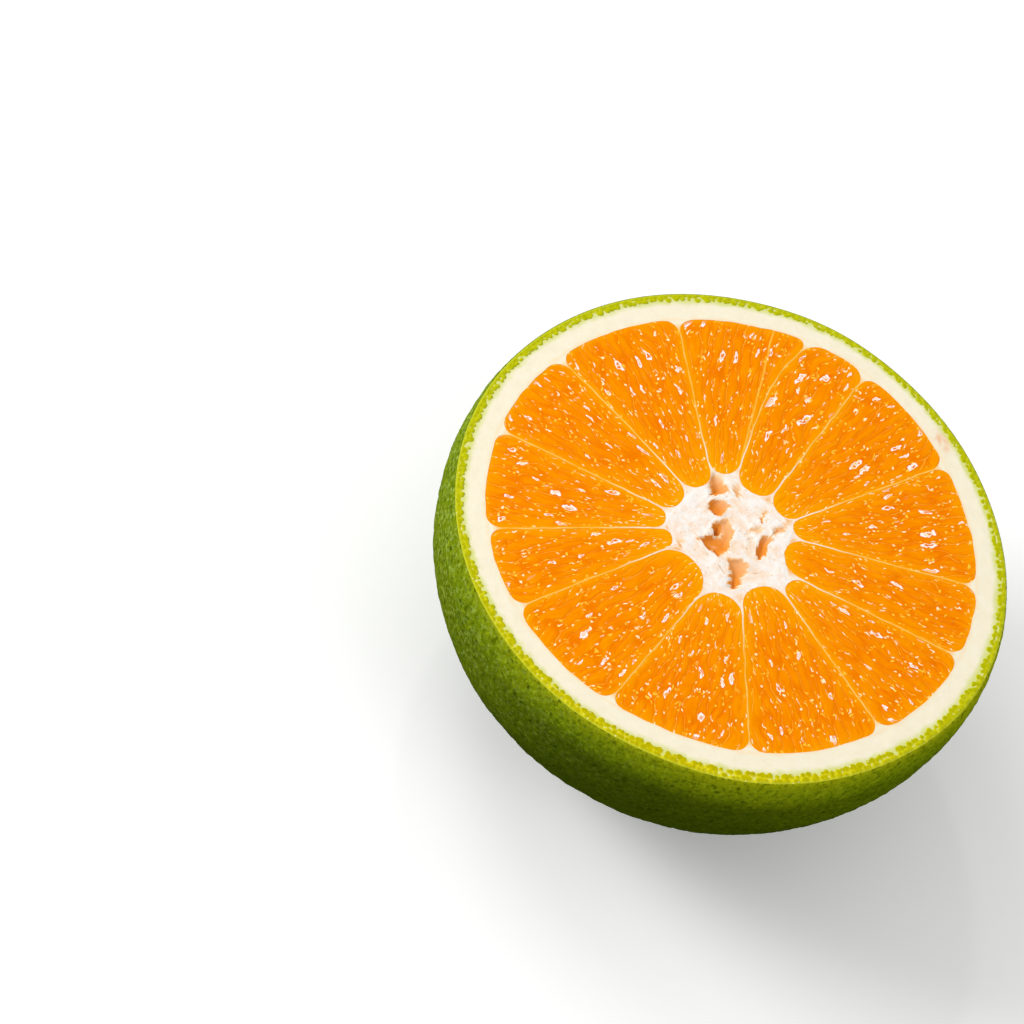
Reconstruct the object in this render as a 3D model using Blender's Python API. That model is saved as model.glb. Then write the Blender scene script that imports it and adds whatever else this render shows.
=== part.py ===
"""The cut half of a green-skinned sweet orange, lying on its rind with the cut face up.

Metres, +Z up. The origin is the middle of the small flat spot that the half rests on,
and the core of the fruit stands on the Z axis. The cut is level, a little above the
widest part of the fruit. Depths are measured down from the cut.
"""
import math
from collections import namedtuple

import bmesh
import bpy

MM = 0.001

# Size of the fruit
WIDEST_RADIUS = 38.0 * MM
CUT_ABOVE_WIDEST = 4.8 * MM
UPPER_HEIGHT = 29.0 * MM    # half height of the oval that the upper side follows
LOWER_HEIGHT = 32.5 * MM    # from the widest part down to the tip, before the flat spot
REST_RADIUS = 7.0 * MM

# Layers, each measured in from the skin
ZEST_THICKNESS = 1.25 * MM
PEEL_THICKNESS = 4.0 * MM
GAP = 0.3 * MM
MEMBRANE_THICKNESS = 0.7 * MM

# Rounded corners of a segment of pulp, at the cut
OUTER_CORNER = 2.0 * MM
INNER_CORNER = 3.2 * MM
OUTER_SHARE = 0.65          # most of a segment's half width that its outer corners take up
INNER_SHARE = 0.9           # and its inner corners
TIP_DRIFT = 4.0 * MM        # how far the inner ends would move out over the whole depth

# How deep the levels of a segment lie
LEVEL_DEPTHS = [0.0, 6.5 * MM, 13.5 * MM, 20.0 * MM, 26.0 * MM, 31.0 * MM]
CUTTER_MARGIN = 1.0 * MM

# Juice sacs, as a raised pattern on the cut pulp
SAC_HEIGHT = 0.35 * MM
SAC_COLUMNS = 6
SAC_ROWS = 8

# Fineness of the round pieces
AROUND = 56
UPPER_ROWS = 2
LOWER_ROWS = 8
WELD = 0.01 * MM
SMOOTH_ANGLE = math.radians(40)

# A membrane between two segments runs from its inner end near the core to the peel.
# The angles are in degrees round the core, and bow is the bend at mid length.
Membrane = namedtuple("Membrane", "outer_angle inner_angle inner_radius bow")
MEMBRANES = [
    Membrane(0.6, -6.5, 9.6 * MM, 0.0),
    Membrane(20.5, 29.5, 9.1 * MM, 0.0),
    Membrane(53.2, 48.5, 9.5 * MM, 0.0),
    Membrane(81.2, 76.5, 8.6 * MM, 0.0),
    Membrane(96.5, 109.7, 9.7 * MM, 4.4),
    Membrane(127.2, 131.3, 11.5 * MM, 0.0),
    Membrane(159.9, 160.1, 8.9 * MM, -1.1),
    Membrane(185.7, 189.6, 10.0 * MM, 0.0),
    Membrane(212.8, 208.1, 9.1 * MM, 0.0),
    Membrane(233.7, 226.6, 9.3 * MM, 0.0),
    Membrane(263.8, 270.2, 11.4 * MM, 0.0),
    Membrane(297.9, 300.3, 11.4 * MM, 0.0),
    Membrane(331.1, 336.0, 9.5 * MM, 0.0),
]

# How far from the core's middle each segment's inner end lies, at the cut
TIP_RADII = [radius * MM for radius in
             (7.1, 8.6, 7.7, 7.4, 9.3, 8.0, 8.0, 9.1, 8.4, 7.3, 9.6, 8.2, 9.6)]

# A torn hollow in the white core: its place, half widths along X and Y, and depth
Hollow = namedtuple("Hollow", "x y half_x half_y depth")
HOLLOWS = [
    Hollow(-1.4 * MM, -1.8 * MM, 1.5 * MM, 2.6 * MM, 9.0 * MM),
    Hollow(-3.4 * MM, 2.6 * MM, 1.2 * MM, 1.1 * MM, 4.5 * MM),
    Hollow(-4.5 * MM, 5.5 * MM, 0.9 * MM, 1.2 * MM, 4.0 * MM),
    Hollow(4.1 * MM, 0.3 * MM, 0.8 * MM, 1.7 * MM, 5.5 * MM),
    Hollow(2.8 * MM, -5.2 * MM, 0.9 * MM, 1.5 * MM, 5.0 * MM),
    Hollow(2.2 * MM, 4.5 * MM, 0.6 * MM, 1.1 * MM, 3.5 * MM),
]
HOLLOW_SIDES = 10
HOLLOW_FLOOR_SHARE = 0.45   # width of a hollow's floor against its mouth
HOLLOW_RAGGEDNESS = 0.16

GREEN = (0.085, 0.19, 0.012, 1.0)
CREAM = (0.86, 0.82, 0.66, 1.0)
ORANGE = (0.95, 0.27, 0.006, 1.0)


CUT_HEIGHT = CUT_ABOVE_WIDEST + LOWER_HEIGHT * math.sqrt(1 - (REST_RADIUS / WIDEST_RADIUS) ** 2)


def dome_radius(depth, inset):
    """Radius of the fruit at a depth below the cut, on the surface inset under the skin."""
    below_widest = depth - CUT_ABOVE_WIDEST
    half_height = UPPER_HEIGHT if below_widest < 0 else LOWER_HEIGHT
    share = below_widest / (half_height - inset)
    return (WIDEST_RADIUS - inset) * math.sqrt(1 - share ** 2)


def dome_profile(inset, smallest_radius):
    """Points (radius, height) down a dome, from the cut to where it is smallest_radius wide."""
    widest = WIDEST_RADIUS - inset
    points = []
    for row in range(UPPER_ROWS):
        depth = CUT_ABOVE_WIDEST * row / UPPER_ROWS
        points.append((dome_radius(depth, inset), CUT_HEIGHT - depth))
    last_turn = math.acos(smallest_radius / widest)
    for row in range(LOWER_ROWS + 1):
        turn = last_turn * row / LOWER_ROWS
        depth = CUT_ABOVE_WIDEST + (LOWER_HEIGHT - inset) * math.sin(turn)
        points.append((widest * math.cos(turn), CUT_HEIGHT - depth))
    return points


def membrane_angle(membrane, reach):
    """Angle in radians at which a membrane, straight but for its bow, is reach from the core."""
    peel = dome_radius(0, PEEL_THICKNESS)
    near = membrane.inner_radius
    reach = min(max(reach, near), peel)
    straight_share = (1 / near - 1 / reach) / (1 / near - 1 / peel)
    share = (reach - near) / (peel - near)
    swing = (membrane.outer_angle - membrane.inner_angle) * straight_share
    return math.radians(membrane.inner_angle + swing + membrane.bow * 4 * share * (1 - share))


def corner_setback(distance_to_end, radius):
    """How far a side draws in at a distance from the end of its rounded corner."""
    if distance_to_end >= radius:
        return 0.0
    share = min(1 - distance_to_end / radius, 1.0)
    return radius * (1 - math.sqrt(1 - share ** 2))


def segment_point(number, across, along, depth, shrink):
    """A point on level depth of a segment, for across and along from -1 to 1.

    across runs from the segment's first membrane to its second, and along from the core
    to the peel. shrink is how far the surface lies inside the pocket's wall.
    """
    first = MEMBRANES[number]
    second = MEMBRANES[(number + 1) % len(MEMBRANES)]
    turn_over = 2 * math.pi if number + 1 == len(MEMBRANES) else 0.0
    level = max(depth, 0.0)
    scale = dome_radius(level, PEEL_THICKNESS) / dome_radius(0, PEEL_THICKNESS)
    peel = dome_radius(level, PEEL_THICKNESS + shrink)
    tip = TIP_RADII[number] * scale + TIP_DRIFT * (1 - scale) + shrink
    share = 0.5 - 0.5 * math.cos(math.pi * (along + 1) / 2)
    radius = tip + (peel - tip) * share
    first_angle = membrane_angle(first, radius / scale)
    second_angle = membrane_angle(second, radius / scale) + turn_over
    clearance = MEMBRANE_THICKNESS / 2 + shrink
    half_width = (second_angle - first_angle) / 2 * radius - clearance
    setback = max(
        corner_setback(peel - radius, min(OUTER_CORNER * scale, OUTER_SHARE * half_width)),
        corner_setback(radius - tip, min(INNER_CORNER * scale, INNER_SHARE * half_width)),
    )
    angle = (first_angle + second_angle) / 2 + across * (half_width - setback) / radius
    return (radius * math.cos(angle), radius * math.sin(angle), CUT_HEIGHT - depth)


def segment_form(bm, number, shrink, depths):
    """Adds one segment's closed form: a grid on top, walls from level to level, and a floor."""
    across = bm.verts.layers.float["across"]
    along = bm.verts.layers.float["along"]
    grid = bmesh.ops.create_grid(bm, x_segments=SAC_COLUMNS, y_segments=SAC_ROWS, size=1.0)
    top = grid["verts"]
    for vert in top:
        vert[across], vert[along] = vert.co.x, vert.co.y
        vert.co = segment_point(number, vert[across], vert[along], depths[0], shrink)
    top_edges = {edge for vert in top for edge in vert.link_edges}
    loop = [edge for edge in top_edges if edge.is_boundary]
    for depth in depths[1:]:
        wall = bmesh.ops.extrude_edge_only(bm, edges=loop)["geom"]
        for vert in wall:
            if isinstance(vert, bmesh.types.BMVert):
                vert.co = segment_point(number, vert[across], vert[along], depth, shrink)
        loop = [edge for edge in wall if isinstance(edge, bmesh.types.BMEdge) and edge.is_boundary]
    bmesh.ops.contextual_create(bm, geom=loop)
    return top


def new_form():
    """An empty bmesh whose points remember their place across and along a segment."""
    bm = bmesh.new()
    bm.verts.layers.float.new("across")
    bm.verts.layers.float.new("along")
    return bm


def turned_form(profile):
    """A bmesh made by turning a profile of (radius, height) points round the Z axis."""
    bm = bmesh.new()
    points = [bm.verts.new((radius, 0.0, height)) for radius, height in profile]
    edges = [bm.edges.new(pair) for pair in zip(points, points[1:])]
    bmesh.ops.spin(bm, geom=points + edges, cent=(0, 0, 0), axis=(0, 0, 1),
                   angle=2 * math.pi, steps=AROUND, use_merge=True)
    bmesh.ops.remove_doubles(bm, verts=bm.verts, dist=WELD)
    open_edges = [edge for edge in bm.edges if edge.is_boundary]
    if open_edges:
        bmesh.ops.contextual_create(bm, geom=open_edges)
    return bm


def new_object(name, bm, colour, roughness, coat):
    """Finishes a bmesh as an object with its own Principled material."""
    bmesh.ops.recalc_face_normals(bm, faces=bm.faces)
    mesh = bpy.data.meshes.new(name)
    bm.to_mesh(mesh)
    bm.free()
    mesh.shade_smooth()
    mesh.set_sharp_from_angle(angle=SMOOTH_ANGLE)
    material = bpy.data.materials.new(name)
    material.use_nodes = True
    shader = material.node_tree.nodes["Principled BSDF"]
    shader.inputs["Base Color"].default_value = colour
    shader.inputs["Roughness"].default_value = roughness
    shader.inputs["Metallic"].default_value = 0.0
    shader.inputs["Coat Weight"].default_value = coat
    mesh.materials.append(material)
    piece = bpy.data.objects.new(name, mesh)
    bpy.context.collection.objects.link(piece)
    return piece


def make_zest():
    """The thin green skin, a bowl that is open at the cut and flat where it rests."""
    outside = dome_profile(0.0, REST_RADIUS) + [(0.0, 0.0)]
    inside = dome_profile(ZEST_THICKNESS, 0.0)
    return new_object("zest", turned_form(outside[::-1] + inside), GREEN, 0.35, 0.3)


def hollow_form(bm, hollow, number):
    """Adds a ragged, tapering cutter for one torn hollow in the core."""
    height = hollow.depth + CUTTER_MARGIN
    cone = bmesh.ops.create_cone(bm, cap_ends=True, segments=HOLLOW_SIDES,
                                 radius1=HOLLOW_FLOOR_SHARE, radius2=1.0, depth=height)
    for vert in cone["verts"]:
        turn = math.atan2(vert.co.y, vert.co.x)
        ragged = 1 + HOLLOW_RAGGEDNESS * math.sin(3 * turn + 2 * number)
        vert.co.x = hollow.x + vert.co.x * ragged * hollow.half_x
        vert.co.y = hollow.y + vert.co.y * ragged * hollow.half_y
        vert.co.z += CUT_HEIGHT + CUTTER_MARGIN - height / 2


def make_pockets():
    """The cutter that opens the segments' pockets and the core's hollows in the pith."""
    bm = new_form()
    for number in range(len(MEMBRANES)):
        segment_form(bm, number, 0.0, [-CUTTER_MARGIN] + LEVEL_DEPTHS)
    for number, hollow in enumerate(HOLLOWS):
        hollow_form(bm, hollow, number)
    cutter = new_object("pocket_cutter", bm, ORANGE, 0.5, 0.0)
    cutter.hide_render = True
    cutter.display_type = "WIRE"
    return cutter


def make_pith():
    """The white pith: the peel's lining, the core, and the membranes between the segments."""
    profile = dome_profile(ZEST_THICKNESS + GAP, 0.0)
    pith = new_object("pith", turned_form(profile), CREAM, 0.75, 0.0)
    pockets = pith.modifiers.new("pockets", "BOOLEAN")
    pockets.operation = "DIFFERENCE"
    pockets.solver = "EXACT"
    pockets.object = make_pockets()
    return pith


def make_segment(number):
    """One segment of pulp, with its juice sacs as ridges that fan out from the core."""
    bm = new_form()
    depths = LEVEL_DEPTHS[:-1] + [LEVEL_DEPTHS[-1] - GAP]
    top = segment_form(bm, number, GAP, depths)
    across = bm.verts.layers.float["across"]
    along = bm.verts.layers.float["along"]
    for vert in top:
        column = round((vert[across] + 1) / 2 * SAC_COLUMNS)
        row = round((vert[along] + 1) / 2 * SAC_ROWS)
        inside = 0 < column < SAC_COLUMNS and 0 < row < SAC_ROWS
        if inside and (column + row // 2) % 2:
            vert.co.z -= SAC_HEIGHT
    bmesh.ops.triangulate(bm, faces=bm.faces)
    name = f"pulp_segment_{number + 1:02d}"
    return new_object(name, bm, ORANGE, 0.25, 0.6)


def main():
    for old in list(bpy.data.objects):
        bpy.data.objects.remove(old, do_unlink=True)
    make_zest()
    make_pith()
    for number in range(len(MEMBRANES)):
        make_segment(number)


main()
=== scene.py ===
"""The looks of the cut half of a green-skinned sweet orange, over its fixed solids.

Everything is in metres where the solids stand: +Z up out of the cut face, the core on the
Z axis, and depths measured down from the cut. The round form and the segments follow the
same named sizes as the solids. Each piece starts as a fine flat grid, whose points are then
moved by formula: pits in the rind, oil glands along its cut edge, torn pith in the core and
juice sacs in the pulp.
"""
import math
from collections import namedtuple
from itertools import product

import bmesh
import bpy
import numpy as np
from mathutils import Matrix, Vector


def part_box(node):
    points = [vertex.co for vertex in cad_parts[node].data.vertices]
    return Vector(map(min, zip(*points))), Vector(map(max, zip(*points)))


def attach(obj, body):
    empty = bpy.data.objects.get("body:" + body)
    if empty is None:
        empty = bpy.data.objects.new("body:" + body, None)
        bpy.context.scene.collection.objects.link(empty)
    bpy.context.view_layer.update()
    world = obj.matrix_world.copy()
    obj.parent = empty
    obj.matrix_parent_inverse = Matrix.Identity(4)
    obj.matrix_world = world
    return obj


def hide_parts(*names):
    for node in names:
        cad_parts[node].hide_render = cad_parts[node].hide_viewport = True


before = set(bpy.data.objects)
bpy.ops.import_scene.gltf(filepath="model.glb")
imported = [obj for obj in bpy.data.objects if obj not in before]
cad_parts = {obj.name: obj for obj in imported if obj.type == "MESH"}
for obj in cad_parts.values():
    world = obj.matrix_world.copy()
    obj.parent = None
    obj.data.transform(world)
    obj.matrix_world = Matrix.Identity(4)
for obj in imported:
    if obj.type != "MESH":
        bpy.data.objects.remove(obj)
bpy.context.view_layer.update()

MM = 0.001

# Further than anything here reaches, and an amount too small to show
FAR = 1e9
TINY = 1e-9

# Form of the fruit, as in the solids
SKIN_LOW, SKIN_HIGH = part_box("zest")
WIDEST_RADIUS = (SKIN_HIGH.x - SKIN_LOW.x) / 2
CUT_HEIGHT = SKIN_HIGH.z
CUT_ABOVE_WIDEST = 4.8 * MM
UPPER_HEIGHT = 29.0 * MM
LOWER_HEIGHT = 32.5 * MM
REST_RADIUS = 7.0 * MM
ZEST_THICKNESS = 1.25 * MM
PEEL_THICKNESS = 4.0 * MM

# Segments and membranes, within a millimetre of the solids but with membranes as thin as the real ones
MEMBRANE_THICKNESS = 0.19 * MM
OUTER_CORNER = 2.0 * MM
INNER_CORNER = 3.2 * MM
OUTER_SHARE = 0.65
INNER_SHARE = 0.95
TIP_DRIFT = 4.0 * MM
LEVEL_DEPTHS = [0.3 * MM, 6.5 * MM, 13.5 * MM, 20.0 * MM, 26.0 * MM, 31.0 * MM]
Membrane = namedtuple("Membrane", "outer_angle inner_angle inner_radius bow")
# Radii in millimetres, and the rest in degrees
MEMBRANES = [Membrane(outer, inner, radius * MM, bow) for outer, inner, radius, bow in (
    (0.6, -6.5, 9.6, 0.0),
    (20.5, 29.5, 9.1, 0.0),
    (53.2, 48.5, 9.5, 0.0),
    (81.2, 76.5, 8.6, 0.0),
    (95.2, 109.7, 9.7, 4.4),
    (127.2, 131.3, 11.5, 0.0),
    (159.9, 160.1, 8.9, -1.1),
    (185.7, 189.6, 10.0, 0.0),
    (212.8, 208.1, 9.1, 0.0),
    (233.7, 226.6, 9.3, 0.0),
    (263.8, 270.2, 11.4, 0.0),
    (297.9, 300.3, 11.4, 0.0),
    (331.1, 336.0, 9.5, 0.0),
)]
SEGMENTS = len(MEMBRANES)
TIP_RADII = [radius * MM for radius in
             (7.1, 8.6, 7.7, 7.4, 9.3, 8.0, 8.0, 9.1, 8.4, 7.3, 9.6, 8.2, 9.6)]

# Where the rim and the edge of the pulp stand out of true, or in: degrees, degrees, metres
Swell = namedtuple("Swell", "angle width rise")
RIM_SWELLS = [
    Swell(355.0, 22.0, 0.38 * MM),
    Swell(43.0, 16.0, -0.20 * MM),
    Swell(92.0, 14.0, 0.36 * MM),
    Swell(160.0, 26.0, -0.24 * MM),
    Swell(222.0, 25.0, 0.12 * MM),
    Swell(277.0, 14.0, -0.38 * MM),
]
PULP_SWELLS = [Swell(80.0, 29.0, 0.65 * MM), Swell(300.0, 60.0, -0.5 * MM)]
SWELL_DEPTH = 18.0 * MM
WAVE = 0.09 * MM
WAVE_LENGTH = 1.7 * MM


def dome_radius(depth, inset):
    """Radius of the fruit at a depth below the cut, on the surface inset under the skin."""
    below = depth - CUT_ABOVE_WIDEST
    half_height = np.where(below < 0, UPPER_HEIGHT, LOWER_HEIGHT) - inset
    return (WIDEST_RADIUS - inset) * np.sqrt(1 - np.clip(below / half_height, -1, 1) ** 2)


SKIN_RADIUS = float(dome_radius(0.0, 0.0))
PULP_RADIUS = float(dome_radius(0.0, PEEL_THICKNESS))


def even_path(radius, depth, rows):
    """The same path in a number of even steps: arrays of radius and depth."""
    way = np.concatenate([[0], np.cumsum(np.hypot(np.diff(radius), np.diff(depth)))])
    steps = np.linspace(0, way[-1], rows + 1)
    return np.interp(steps, way, radius), np.interp(steps, way, depth)


def dome_path(inset, smallest_radius, rows):
    """Even steps down a dome from the cut to where it is smallest_radius wide."""
    widest = WIDEST_RADIUS - inset
    start = -math.asin(CUT_ABOVE_WIDEST / (UPPER_HEIGHT - inset))
    turn = np.linspace(start, math.acos(smallest_radius / widest), 800)
    half_height = np.where(turn < 0, UPPER_HEIGHT, LOWER_HEIGHT) - inset
    return even_path(widest * np.cos(turn), CUT_ABOVE_WIDEST + half_height * np.sin(turn), rows)


def points_at(reach, angle, height):
    """Points by their reach from the core, their angle in radians and their height."""
    height = np.broadcast_to(height, reach.shape)
    return np.stack([reach * np.cos(angle), reach * np.sin(angle), height], axis=-1)


def membrane_angle(membrane, reach):
    """Angle in radians at which a membrane, straight but for its bow, is reach from the core."""
    near = membrane.inner_radius
    reach = np.clip(reach, near, PULP_RADIUS)
    straight_share = (1 / near - 1 / reach) / (1 / near - 1 / PULP_RADIUS)
    share = (reach - near) / (PULP_RADIUS - near)
    swing = (membrane.outer_angle - membrane.inner_angle) * straight_share
    return np.radians(membrane.inner_angle + swing + membrane.bow * 4 * share * (1 - share))


def corner_setback(distance_to_end, radius):
    """How far a side draws in at a distance from the end of its rounded corner."""
    share = np.clip(1 - distance_to_end / radius, 0, 1)
    return radius * (1 - np.sqrt(1 - share ** 2))


def segment_points(number, across, along, depth):
    """Points of a segment's outer surface, for across and along from -1 to 1, at a depth.

    across runs from the segment's first membrane to its second, and along from the core
    to the peel.
    """
    first = MEMBRANES[number]
    second = MEMBRANES[(number + 1) % SEGMENTS]
    turn_over = 2 * math.pi if number + 1 == SEGMENTS else 0.0
    scale = dome_radius(depth, PEEL_THICKNESS) / PULP_RADIUS
    peel = PULP_RADIUS * scale
    tip = TIP_RADII[number] * scale + TIP_DRIFT * (1 - scale)
    even = (along + 1) / 2
    share = (even + 0.5 - 0.5 * np.cos(math.pi * even)) / 2
    radius = tip + (peel - tip) * share
    first_angle = membrane_angle(first, radius / scale)
    second_angle = membrane_angle(second, radius / scale) + turn_over
    half_width = (second_angle - first_angle) / 2 * radius - MEMBRANE_THICKNESS / 2
    outer = np.minimum(OUTER_CORNER * scale, OUTER_SHARE * half_width)
    inner = np.minimum(INNER_CORNER * scale, INNER_SHARE * half_width)
    setback = np.maximum(corner_setback(peel - radius, outer), corner_setback(radius - tip, inner))
    angle = (first_angle + second_angle) / 2 + across * (half_width - setback) / radius
    return points_at(radius, angle, CUT_HEIGHT - depth)


def polar(points):
    """Angle in degrees and reach from the core of each point."""
    angle = np.degrees(np.arctan2(points[:, 1], points[:, 0]))
    return angle, np.hypot(points[:, 0], points[:, 1])


def total_swell(angle, *swells):
    """Sum of the swells at each angle in degrees."""
    rise = np.zeros(len(angle))
    for swell in swells:
        turn = (angle - swell.angle + 180) % 360 - 180
        rise += swell.rise * np.exp(-(turn / swell.width) ** 2)
    return rise


def unround(points):
    """Moves points aside a little, so that the rim, the pulp's edge and the membranes waver."""
    angle, reach = polar(points)
    fading = np.exp(-((CUT_HEIGHT - points[:, 2]) / SWELL_DEPTH) ** 2)
    at_pulp = fade(reach, 12 * MM, PULP_RADIUS) * (1 - fade(reach, PULP_RADIUS, SKIN_RADIUS))
    rise = total_swell(angle, *RIM_SWELLS) * reach / SKIN_RADIUS
    rise += total_swell(angle, *PULP_SWELLS) * at_pulp
    points[:, :2] *= (1 + rise * fading / np.maximum(reach, MM))[:, None]
    wavy = fade(reach, 8 * MM, 12 * MM) * (1 - fade(reach, PULP_RADIUS + MM, PULP_RADIUS + 2 * MM))
    flat = points * (1, 1, 0)
    for axis in range(2):
        points[:, axis] += WAVE * wavy * fading * soft_noise(flat, WAVE_LENGTH, 13 + axis)


# Noise

CELL_PRIMES = (73856093, 19349663, 83492791)
SEED_PRIME = 2654435761
STIRS = ((15, 2246822519), (13, 3266489917))
ALL_BITS = 0xFFFFFFFF


def fade(value, start, end):
    """0 before start, 1 after end, and smooth between."""
    share = np.clip((value - start) / (end - start), 0, 1)
    return share * share * (3 - 2 * share)


def cell_random(cells, seed):
    """A repeatable number from 0 to 1 for each whole-numbered cell."""
    x, y, z = (cells[..., axis] * prime for axis, prime in enumerate(CELL_PRIMES))
    mixed = (x ^ y ^ z ^ seed * SEED_PRIME) & ALL_BITS
    for shift, prime in STIRS:
        mixed = (mixed ^ mixed >> shift) * prime & ALL_BITS
    return (mixed ^ mixed >> 16) / ALL_BITS


def soft_noise(points, size, seed):
    """Smooth noise from -1 to 1 at the points, with lumps about size wide."""
    scaled = points / size
    cells = np.floor(scaled).astype(np.int64)
    part = scaled - cells
    part = part * part * (3 - 2 * part)
    total = np.zeros(len(points))
    for corner in product((0, 1), repeat=3):
        weight = np.prod(np.where(corner, part, 1 - part), axis=1)
        total += weight * cell_random(cells + np.array(corner), seed)
    return total * 2 - 1


def layered_noise(points, size, seed, layers):
    """Soft noise in layers, each half as wide and half as strong as the one before."""
    total = np.zeros(len(points))
    for layer in range(layers):
        total += soft_noise(points, size / 2 ** layer, seed + layer) / 2 ** layer
    return total / 1.5


def nearest_spots(points, size, seed):
    """Distances to the nearest and second nearest of the spots scattered one to a cell."""
    cells = np.floor(points / size).astype(np.int64)
    nearest = np.full(len(points), FAR)
    second = nearest.copy()
    for step in product((-1, 0, 1), repeat=3):
        cell = cells + np.array(step)
        spot = np.stack([cell_random(cell, seed + axis) for axis in range(3)], axis=1)
        away = np.linalg.norm((cell + spot) * size - points, axis=1)
        second = np.minimum(second, np.maximum(nearest, away))
        nearest = np.minimum(nearest, away)
    return nearest, second


# Meshes

WELD = 0.002 * MM


def flat_grid(columns, rows):
    """A flat grid from -1 to 1 both ways. A piece is shaped from it by moving its points."""
    bm = bmesh.new()
    bmesh.ops.create_grid(bm, x_segments=columns, y_segments=rows, size=1.0)
    return bm


def sink_walls(bm, loop, depths):
    """Extrudes a loop of edges straight down to each depth in turn. Returns the last loop."""
    for depth in depths:
        wall = bmesh.ops.extrude_edge_only(bm, edges=loop)["geom"]
        for item in wall:
            if isinstance(item, bmesh.types.BMVert):
                item.co.z = -depth
        loop = [item for item in wall if isinstance(item, bmesh.types.BMEdge) and item.is_boundary]
    return loop


def to_mesh(name, bm):
    """Turns a finished bmesh into a mesh."""
    mesh = bpy.data.meshes.new(name)
    bm.to_mesh(mesh)
    bm.free()
    return mesh


def read_points(mesh):
    """A mesh's points as an (n, 3) array."""
    points = np.empty(len(mesh.vertices) * 3, dtype=np.float32)
    mesh.vertices.foreach_get("co", points)
    return points.reshape(-1, 3).astype(float)


def write_points(mesh, points):
    """Moves a mesh's points to those of an (n, 3) array."""
    mesh.vertices.foreach_set("co", np.ascontiguousarray(points, dtype=np.float32).ravel())
    mesh.update()


def write_values(mesh, **values):
    """Stores arrays as a mesh's point values, for its material to read by name."""
    for name, numbers in values.items():
        layer = mesh.attributes.new(name, "FLOAT", "POINT")
        layer.data.foreach_set("value", np.ascontiguousarray(numbers, dtype=np.float32))


def add_object(name, data):
    """Adds a mesh, a light or a camera to the scene."""
    item = bpy.data.objects.new(name, data)
    bpy.context.collection.objects.link(item)
    return item


def finish_piece(mesh, material, nodes, smooth_angle):
    """Welds and shades a mesh, and adds it to the scene in place of the solids it stands for."""
    bm = bmesh.new()
    bm.from_mesh(mesh)
    bmesh.ops.remove_doubles(bm, verts=bm.verts, dist=WELD)
    bmesh.ops.recalc_face_normals(bm, faces=bm.faces)
    bm.to_mesh(mesh)
    bm.free()
    mesh.shade_smooth()
    mesh.set_sharp_from_angle(angle=math.radians(smooth_angle))
    mesh.materials.append(material)
    piece = add_object(mesh.name, mesh)
    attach(piece, "root")
    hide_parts(*nodes)


# Materials

def rgb(red, green, blue):
    """An opaque colour."""
    return (red, green, blue, 1.0)


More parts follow.
